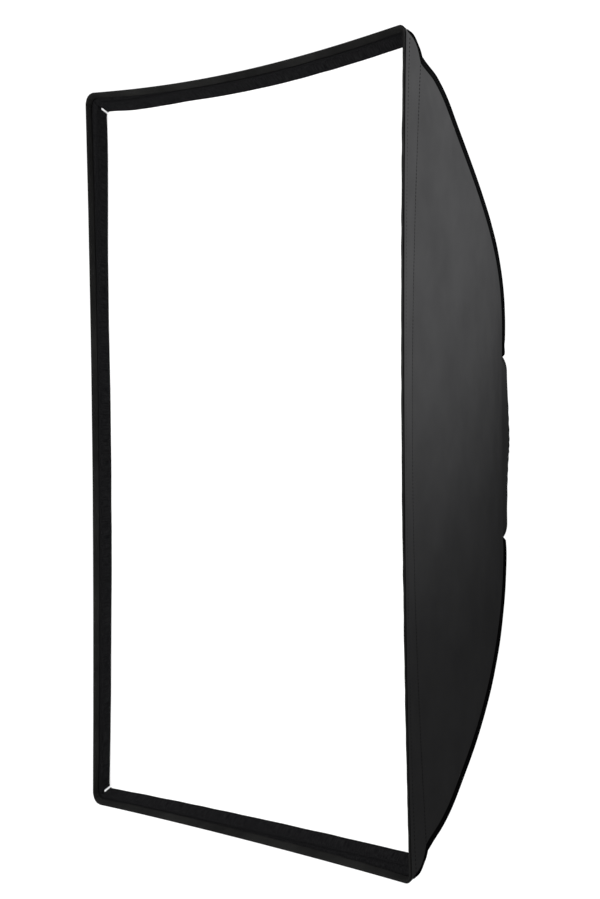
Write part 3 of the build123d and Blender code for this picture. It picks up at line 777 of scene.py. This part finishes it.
def binding_path(name, along_ridge=150, along_lip=28):
    """Pairs of (inner, outer) edge points of the folded tape, from the rear to the hem."""
    pairs = []
    for i in range(along_ridge + 1):
        angle = mix(REAR_ANGLE - 1.2, SEAM_ANGLE, i / along_ridge)
        lift = ridge_lift(angle, max(CORNERS[name][1], 0))
        y_in, rho_in = place(SKIN + 0.003 - lift, angle)
        rise = SKIN * smooth((i + 2) / 6) + lift
        y_out, rho_out = place(SKIN - rise, angle)
        pairs.append((corner_vector(name, rho_in, y_in), corner_vector(name, rho_out, y_out)))
    for i in range(1, along_lip + 1):
        y = mix(SEAM_Y, HEM_Y + 0.001, i / along_lip)
        # proudest at the seam, and least at the hem
        proud = mix(0.0078, 0.0044, smooth(i / 14)) - 0.0018 * smooth((i - 20) / 8)
        pairs.append((lip_corner(name, y, -0.003), lip_corner(name, y, proud)))
    return pairs


def build_binding(name):
    """The folded tape along one ridge and its lip mitre; returns the lines of its stitches."""
    pairs = binding_path(name)
    outer = [high for _, high in pairs]
    ahead = [after - before for before, after in zip(outer[:1] + outer, outer[1:] + outer[-1:])]
    seed = sorted(CORNERS).index(name) * 4.4
    rings, runs, run = [], [], 0.0
    for i, (low, high) in enumerate(pairs):
        aside = ahead[i].cross((high - low).normalized()).normalized()
        run += (high - outer[max(i - 1, 0)]).length
        runs.append(run)
        tilt = 0.0007 * noise.noise(Vector((run * 18, seed, 0.2)))
        ring = []
        for c, s in soft_square(18, 0.6, 0.7):
            up = 0.5 + 0.5 * c
            crest = 0.35 * smooth((up - 0.72) / 0.1)
            waist = 0.25 * math.exp(-((up - 0.55) / 0.09) ** 2)
            fold = 1 + crest - waist
            ring.append(low.lerp(high, up) + aside * (0.0012 * s * fold + tilt * up))
        rings.append(ring)
    # The tape's material is black, darkened further to paint in the shade along the ridge.
    tape = tube(f"seam_tape_{name}", rings, BINDING_WITH_PAINTED_SHADE, lambda i, j: (runs[i], j * 0.001))
    body_piece(tape, "softbox", "seam_tape", f"seam_binding_{name}")
    lines = []
    for side in (1, -1):
        line = []
        for (low, high), step in zip(pairs, ahead):
            aside = step.cross(high - low).normalized() * side
            line.append((low.lerp(high, 0.56) + aside * 0.0009, aside))
        fine = []
        for (p, n), (q, _) in zip(line, line[1:]):
            fine += [(p.lerp(q, t / 5), n) for t in range(5)]
        lines.append(fine)
    return lines


def build_stitching(binding_lines):
    """Thread along the seam between lip and panels, along the hem, and along the corner tapes."""
    lines = []
    for side in SIDES:
        out = directions(side)[0]
        for y, offset in ((SEAM_Y - 0.0032, 0.0006), (HEM_Y + 0.0035, 0.0001)):
            lines.append([(lip_point(side, p, y, offset, gap=0.004), out) for p in even(1500)])
    body_piece(stitches("stitches_lip", lines), "softbox", "seam_tape")
    body_piece(stitches("stitches_corners", binding_lines), "softbox", "seam_tape")


# ---- the sleeve over the ring ---------------------------------------------------------
def rounded_radius(angle, half_x, half_z, corner):
    """Distance from the axis to a rounded rectangle, in a direction measured from +X."""
    c, s = abs(math.cos(angle)), abs(math.sin(angle))
    if c * half_z <= s * (half_x - corner):
        return half_z / s
    if s / c <= (half_z - corner) / half_x:
        return half_x / c
    cx, cz = half_x - corner, half_z - corner
    along = cx * c + cz * s
    return along + math.sqrt(max(corner**2 - (cx**2 + cz**2 - along**2), 0.0))


def socket_bump(angle):
    """1 over a rod socket, 0 away from it."""
    folded = math.atan2(abs(math.sin(angle)), abs(math.cos(angle)))
    away = abs(folded - math.atan2(K_TOP, K_SIDE))
    return 1 - smooth((away - math.radians(8.5)) / math.radians(9))


def spline(points, t):
    """Catmull-Rom through a list of tuples, t from 0 to 1."""
    spans = len(points) - 1
    i = min(int(t * spans), spans - 1)
    f = t * spans - i
    p0, p1 = points[max(i - 1, 0)], points[i]
    p2, p3 = points[i + 1], points[min(i + 2, spans)]
    out = []
    for a, b, c, d in zip(p0, p1, p2, p3):
        square, cube = 2 * a - 5 * b + 4 * c - d, 3 * b - a - 3 * c + d
        out.append(0.5 * (2 * b + (c - a) * f + square * f**2 + cube * f**3))
    return out


REAR_Y, REAR_RHO = place(SKIN, REAR_ANGLE)
SHOULDER_X, SHOULDER_Z, SHOULDER_Y = 0.0972, 0.158, -0.0140


def pleat_phase(angle):
    """The phase of the gathers round the ring: 44 of them, unevenly spread."""
    return angle * 44 + 2.4 * math.sin(angle * 5)


def collar_route(angle):
    """(rho, y) points from under the panels' rear edge to the elastic round the ring."""
    bump_here = socket_bump(angle)
    at_knob = math.exp(-((math.cos(angle) / 0.13) ** 2))
    at_side = smooth((abs(math.cos(angle)) - 0.55) / 0.4)
    under_y, under_rho = place(SKIN, REAR_ANGLE + 2.2)
    under = (under_rho * K_SIDE - 0.0018, under_rho * K_TOP - 0.0018)
    edge = (REAR_RHO * K_SIDE - 0.0014, REAR_RHO * K_TOP - 0.0014)
    height = REAR_RHO * math.sin(angle) * 0.66
    puff = 0.0072 * math.exp(-(((height - 0.02) / 0.07) ** 2))
    shoulder = rounded_radius(angle, SHOULDER_X + puff, SHOULDER_Z, 0.034)
    neck = RING_R + 0.0026 + 0.0124 * bump_here + 0.0014 * at_side
    low_y = mix(-0.0128, -0.0065, bump_here)
    top_y = mix(mix(-0.0088, -0.0016, at_side), -0.0032, bump_here)
    return [
        (rounded_radius(angle, *under, 0.010), under_y - 0.0014),
        (rounded_radius(angle, *edge, 0.010), REAR_Y + 0.0002),
        (mix(rounded_radius(angle, *edge, 0.03), shoulder, 0.55), mix(REAR_Y, SHOULDER_Y, 0.6)),
        (shoulder, mix(SHOULDER_Y, -0.0148, at_knob)),
        (mix(shoulder, neck, 0.6), mix(-0.0132, -0.0152, at_knob) + 0.0052 * bump_here),
        (neck + 0.0016, low_y - 0.0006 - 0.0012 * at_knob),
        (neck, mix(low_y, top_y, 0.5)),
        (neck - 0.0004 - 0.002 * bump_here, top_y),
    ]


def build_collar():
    """The sleeve that closes the box: smooth over the panels' edge, gathered at the ring."""
    around, rows = 540, 42
    grid = []
    for i in range(rows + 1):
        w = i / rows
        line = []
        for j in range(around + 1):
            angle = math.tau * j / around
            rho, y = spline(collar_route(angle), w)
            c, s = math.cos(angle), math.sin(angle)
            pleats = math.sin(pleat_phase(angle) + 0.8 * math.sin(angle * 13))
            gather = smooth((w - 0.2) / 0.6) * (1 - 0.92 * socket_bump(angle))
            calm = 1 - math.exp(-((c / 0.16) ** 2))
            lift = 0.0011 * pleats * gather * calm
            slow = 0.0009 * noise.noise(Vector((c * 3, s * 3, w * 2)))
            on_ring = smooth((w - 0.72) / 0.1)
            rho += lift * on_ring
            y += (lift + slow * calm) * (1 - on_ring) * smooth(w / 0.15)
            line.append(Vector((rho * c, y, rho * s)))
        grid.append(line)
    sleeve = shell(
        "cloth_rear_collar", grid, 0.0009, [NYLON, LINING],
        lambda i, j: (j * 0.0016, i * 0.003), flip=True,
    )
    body_piece(sleeve, "softbox", "black_nylon", "rear_collar")


def build_collar_elastic():
    """A ribbed band, drawn tight round the ring and over the sockets."""
    rings = []
    around = 720
    for j in range(around):
        angle = math.tau * j / around
        route = collar_route(angle)
        (rho_a, y_a), (rho_b, y_b) = spline(route, 0.86), spline(route, 1.0)
        ribs = 0.00025 * math.sin(angle * 240)
        ruffle = 0.0006 * math.sin(pleat_phase(angle))
        outward = Vector((y_b - y_a, rho_a - rho_b)).normalized()
        ring = []
        for c, s in soft_square(14, 0.6, 0.6):
            t = 0.5 + 0.5 * c
            out = 0.0011 + 0.0008 * s + (ribs if s > 0 else 0)
            rho = mix(rho_a, rho_b, t) + outward.x * (out + ruffle)
            y = mix(y_a, y_b, t) + outward.y * out
            ring.append(Vector((rho * math.cos(angle), y, rho * math.sin(angle))))
        rings.append(ring)
    band = tube(
        "elastic_collar", rings, BLACK_ELASTIC, lambda i, j: (i * 0.0008, j * 0.001), closed=True
    )
    body_piece(band, "softbox", "black_elastic", "collar_elastic")


# ---- inside ---------------------------------------------------------------------------
def baffle_point(s, t, y):
    """A point on the baffle; s and t run from -1 to 1, and its edges are drawn in."""
    pull_x = 0.020 * (1 - t * t) * abs(s) ** 3 * math.copysign(1, s)
    pull_z = 0.020 * (1 - s * s) * abs(t) ** 3 * math.copysign(1, t)
    return Vector((s * BAFFLE_X - pull_x, y, t * BAFFLE_Z - pull_z))


def build_baffle(cols=70, rows=96, hem_width=0.014):
    """A thin white sheet with a folded hem, held by the four corner straps."""
    grid = []
    for t in even(rows):
        line = []
        for s in even(cols):
            near = math.exp(-math.hypot(1 - abs(s), 1.4 * (1 - abs(t))) / 0.2)
            rays = math.sin(14 * math.atan2(1 - abs(t) + 0.01, 1 - abs(s) + 0.01))
            past = max(abs(s) * BAFFLE_X - BAFFLE_X, abs(t) * BAFFLE_Z - BAFFLE_Z) + hem_width
            sag = 0.0022 * noise.noise(Vector((s * 2.3, t * 3.1, 9.2)))
            y = BAFFLE_Y - 0.0004 + sag * (1 - near) + 0.0012 * rays * near * (1 - near)
            line.append(baffle_point(s, t, y - 0.0006 * smooth(past / 0.002)))
        grid.append(line)
    sheet = shell("cloth_baffle", grid, 0.0007, [BAFFLE], lambda i, j: (grid[i][j].x, grid[i][j].z))
    body_piece(sheet, "softbox", "baffle_cloth", "inner_baffle")
    border = []
    for side in SIDES:
        band = []
        for inward in (0.0, 0.15, 0.5, 0.85, 1.0):
            line = []
            for p in even(90):
                q = p * (1 - inward * hem_width / (BAFFLE_Z if upright(side) else BAFFLE_X))
                a = 1 - inward * hem_width / (BAFFLE_X if upright(side) else BAFFLE_Z)
                s, t = (a, -q) if side == "right" else (-a, q) if side == "left" else (q, a)
                s, t = (-q, -a) if side == "bottom" else (s, t)
                crown = 0.0007 * (1 - (2 * inward - 1) ** 4)
                line.append(baffle_point(s, t, BAFFLE_Y - 0.0024 - crown))
            band.append(line)
        hem = shell(
            f"baffle_hem_{side}", band, 0.0008, [BAFFLE],
            lambda i, j: (j * 0.01, i * 0.0035), flip=True,
        )
        body_piece(hem, "softbox", "baffle_hem_tape")
        border.append(hem)
    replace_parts(border[0], "baffle_hem")


def corner_frame(name, rho, y, run_rho, run_y):
    """The place in a corner's plane, and there the run, level and aside directions."""
    sx, sz = CORNERS[name]
    out = Vector((sx * K_SIDE, 0, sz * K_TOP))
    back = Vector((0, 1, 0))
    run = (out * run_rho + back * run_y).normalized()
    level = (out * -run_y + back * run_rho).normalized()
    return out * rho + back * y, run, level, run.cross(level)


def build_strap(name):
    """Ribbed white elastic from the baffle's corner to the rod, with a folded end."""
    start, end, half = 0.383, 0.4655, 0.0088
    rib_pitch, steps = 0.0022, 150
    origin, run, level, aside = corner_frame(name, start, BAFFLE_Y + 0.0002, 1, 0)
    rings = []
    for i in range(steps + 1):
        t = i / steps
        rib = 0.00022 * math.sin(t * (end - start) / rib_pitch * math.tau)
        narrow = 1 - 0.05 * math.sin(math.pi * t)
        doubled = 0.0009 * (1 - smooth((t - 0.30) / 0.03))
        ring = []
        for c, s in soft_square(16, 0.3, 0.5):
            high = 0.0007 + 0.0005 * s + ((rib + doubled) if s > 0 else -rib)
            centre = origin + run * (t * (end - start))
            ring.append(centre + aside * (half * narrow * c) + level * high)
        rings.append(ring)
    strap = tube(
        f"baffle_strap_{name}", rings, WHITE_ELASTIC, lambda i, j: (i * 0.00055, j * 0.002),
    )
    body_piece(strap, "softbox", "white_elastic")
    return strap


def rod_angle(y):
    """Where the rods pass a depth y, in degrees on their arc."""
    return math.degrees(math.acos((y - LONG_Y) / (LONG_R - ROD)))


def rod_frame(name, angle):
    """corner_frame on the rod, with its run along it."""
    y, rho = place(ROD, angle)
    a = math.radians(angle)
    return corner_frame(name, rho, y, math.cos(a), -math.sin(a))


def sleeve_rings(name, angle, tail, length=0.022, radius=0.0027, wall=0.0011, steps=12):
    """Sections of a cloth loop: round the rod, with both ends brought out to the seam."""
    origin, run, level, aside = rod_frame(name, angle)
    rings = []
    for i in range(steps + 1):
        t = i / steps - 0.5
        fray = 0.0003 * math.sin(i * 2.1)
        outer, inner = [], []
        for k in range(25):
            turn = math.pi * (0.5 + (k / 24 - 0.5) * 1.72) + math.pi
            for line, r in ((outer, radius + wall), (inner, radius)):
                line.append(aside * (math.cos(turn) * r) + level * (math.sin(turn) * r))
        ends = [aside * (x * (0.0006 + wall * 0.5)) + level * tail for x in (-1, 1)]
        path = [ends[0] + aside * -wall * 0.5] + outer + [ends[1] + aside * wall * 0.5]
        path += [ends[1] - aside * wall * 0.4] + inner[::-1] + [ends[0] + aside * wall * 0.4]
        centre = origin + run * (t * length + fray)
        rings.append([centre + point for point in path])
    return rings


def build_keepers():
    """Webbing loops along each rod; the one at the baffle also takes its strap."""
    angles = [mix(SOCKET_ANGLE, rod_angle(ROD_END_Y), share) for share in (0.45, 0.9)]
    angles.append(rod_angle(BAFFLE_Y))
    made = []
    for name in CORNERS:
        for angle in angles:
            tail = 0.0090 + ridge_lift(angle, max(CORNERS[name][1], 0))
            rings = sleeve_rings(name, angle, tail)
            label = f"keeper_{name}_{len(made)}"
            loop = tube(label, rings, WEBBING, lambda i, j: (i * 0.0018, j * 0.001))
            made.append(body_piece(loop, "softbox", "black_webbing"))
    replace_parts(made[0], "rod_keeper_loops")


def build_pocket(name):
    """The cloth pocket that a rod's tip pushes into, sewn into the corner of the lip."""
    origin, run, level, aside = rod_frame(name, rod_angle(ROD_END_Y))
    rings = []
    for t in (-0.0100, -0.0097, -0.008, -0.004, 0.0, 0.004, 0.008, 0.0115, 0.0135, 0.0143, 0.0145):
        close = 1 - smooth((t - 0.009) / 0.0056) * 0.75
        lip = 1 + 0.06 * math.exp(-(((t + 0.009) / 0.0012) ** 2))
        ring = []
        for k in range(36):
            turn = math.tau * k / 36
            c, s = math.cos(turn), math.sin(turn)
            wing = 0.0030 * math.exp(-((s / 0.22) ** 2))
            ring.append(
                origin + run * t
                + aside * (math.copysign(0.0046 * abs(c) + wing, c) * lip)
                + level * (0.0049 * s * close * lip)
            )
        rings.append(ring)
    pocket = tube(f"pocket_{name}", rings, WEBBING, lambda i, j: (i * 0.0025, j * 0.001))
    body_piece(pocket, "softbox", "black_webbing", f"corner_pocket_{name}")


for side in SIDES:
    build_panel(side)
    build_lip(side)
    build_hem(side)
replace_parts([build_tapes(side) for side in SIDES][0], "lip_loop_tapes")
build_diffuser()
build_stitching([line for corner in CORNERS for line in build_binding(corner)])
build_collar()
build_collar_elastic()
build_baffle()
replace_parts([build_strap(corner) for corner in CORNERS][0], "baffle_straps")
build_keepers()
for corner in CORNERS:
    build_pocket(corner)


# ---- stage, light and camera ----------------------------------------------------------
def light(name, kind, spot, target, **settings):
    """A lamp at spot, in metres, that points at target."""
    data = bpy.data.lights.new(name, kind)
    for key, value in settings.items():
        setattr(data, key, value)
    lamp = bpy.data.objects.new(name, data)
    bpy.context.collection.objects.link(lamp)
    lamp.location = spot
    lamp.rotation_euler = (Vector(target) - Vector(spot)).to_track_quat("-Z", "Y").to_euler()


def build_stage():
    mat, tree, shader = nodes_of("pale floor", (0.97, 0.97, 0.97), 0.9, Specular_IOR_Level=0.0)
    where = add(tree, "ShaderNodeTexCoord").outputs["Object"]
    tone(tree, shader, where, 2.0, (0.965, 0.965, 0.965), (0.975, 0.975, 0.975))
    reach, level = 14.0, cad_low.z - 0.32
    corners = [(x * reach, y * reach, level) for x, y in ((-1, -1), (1, -1), (1, 1), (-1, 1))]
    make("floor", corners, [[0, 1, 2, 3]], [mat])

    world = bpy.data.worlds.new("studio")
    world.use_nodes = True
    ground = world.node_tree.nodes["Background"]
    ground.inputs["Color"].default_value = (1, 1, 1, 1)
    ground.inputs["Strength"].default_value = 1.07
    bpy.context.scene.world = world
    light(
        "front light", "AREA", (-1.6, -3.6, 0.9), (0, -0.5, 0),
        shape="DISK", size=2.4, energy=60,
    )
    light(
        "panel light", "SPOT", (2.6, 1.2, 1.35), (0.41, -0.52, 0.80),
        spot_size=math.radians(39.4), spot_blend=0.75, energy=1690, shadow_soft_size=0.15,
    )
    bpy.context.scene.view_settings.view_transform = "Standard"


def build_camera():
    spot = (2.523, FRONT_Y - 1.933, 0.071)
    yaw, pitch, roll = math.radians(50.67), -0.0211, -0.0085
    ahead = Vector((-math.sin(yaw), math.cos(yaw), math.tan(pitch))).normalized()
    right = Vector((math.cos(yaw), math.sin(yaw), 0))
    up = right.cross(ahead)
    right, up = (
        right * math.cos(roll) + up * math.sin(roll),
        up * math.cos(roll) - right * math.sin(roll),
    )
    data = bpy.data.cameras.new("camera")
    data.lens = 82.75
    data.sensor_width = 36.0
    camera = bpy.data.objects.new("camera", data)
    bpy.context.collection.objects.link(camera)
    turn = Matrix((right, up, -ahead)).transposed().to_4x4()
    camera.matrix_world = Matrix.Translation(spot) @ turn
    bpy.context.scene.camera = camera


build_stage()
build_camera()
